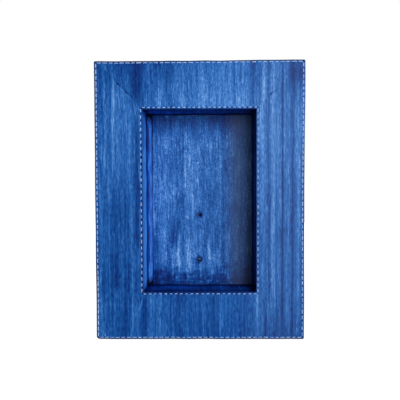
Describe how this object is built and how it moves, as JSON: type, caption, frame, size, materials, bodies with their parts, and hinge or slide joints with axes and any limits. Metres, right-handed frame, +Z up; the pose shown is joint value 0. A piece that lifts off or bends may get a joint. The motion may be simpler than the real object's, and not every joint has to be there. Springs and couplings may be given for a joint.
{
  "type": "shadow box frame",
  "caption": "Upright rectangular display frame with a deep recess, wooden boards covered in stitched blue leather, and D-ring hangers on its back.",
  "frame": {"origin": "middle of the footprint under the bottom edge, on the surface that the frame stands on", "axes": "+Z up along the frame's height, +X across its width to the viewer's right, +Y from the face towards the back"},
  "size_m": [0.21, 0.058, 0.28],
  "materials": {
    "blue_leather": "hand-brushed dye in upright streaks, semi-matte",
    "blue_lining_leather": "thin dyed leather, semi-matte",
    "cream_thread": "waxed linen thread",
    "pine": "planed, unfinished",
    "plywood": "sanded, unfinished",
    "hardboard": "pressed, smooth",
    "back_suede": "suede",
    "brass_screw": "aged",
    "nickel_steel": "nickel plated"
  },
  "bodies": {
    "frame": {"face_leather_top": "blue_leather", "face_leather_bottom": "blue_leather", "face_leather_left": "blue_leather", "face_leather_right": "blue_leather", "side_leather_top": "blue_leather", "side_leather_bottom": "blue_leather", "side_leather_left": "blue_leather", "side_leather_right": "blue_leather", "wall_leather_top": "blue_lining_leather", "wall_leather_bottom": "blue_lining_leather", "wall_leather_left": "blue_lining_leather", "wall_leather_right": "blue_lining_leather", "floor_leather": "blue_leather", "outer_thread": "cream_thread", "inner_thread": "cream_thread", "face_board_top": "pine", "face_board_bottom": "pine", "face_board_left": "pine", "face_board_right": "pine", "side_board_top": "pine", "side_board_bottom": "pine", "side_board_left": "pine", "side_board_right": "pine", "wall_board_top": "pine", "wall_board_bottom": "pine", "wall_board_left": "pine", "wall_board_right": "pine", "floor_board": "plywood", "back_board": "hardboard", "back_lining": "back_suede", "corner_block_tl": "pine", "corner_block_tr": "pine", "corner_block_bl": "pine", "corner_block_br": "pine", "back_screw_tl": "brass_screw", "back_screw_tr": "brass_screw", "back_screw_bl": "brass_screw", "back_screw_br": "brass_screw", "floor_screw": "brass_screw", "hanger_plate_left": "nickel_steel", "hanger_plate_right": "nickel_steel", "hanger_screw_left": "brass_screw", "hanger_screw_right": "brass_screw"},
    "ring_left": {"hanger_ring_left": "nickel_steel"},
    "ring_right": {"hanger_ring_right": "nickel_steel"}
  },
  "joints": [
    {"name": "ring_left_swing", "type": "hinge", "parent": "frame", "child": "ring_left", "pos_m": [-0.081, 0.0258, 0.242], "axis": [1, 0, 0], "range_deg": [0, 180]},
    {"name": "ring_right_swing", "type": "hinge", "parent": "frame", "child": "ring_right", "pos_m": [0.081, 0.0258, 0.242], "axis": [1, 0, 0], "range_deg": [0, 180]}
  ]
}
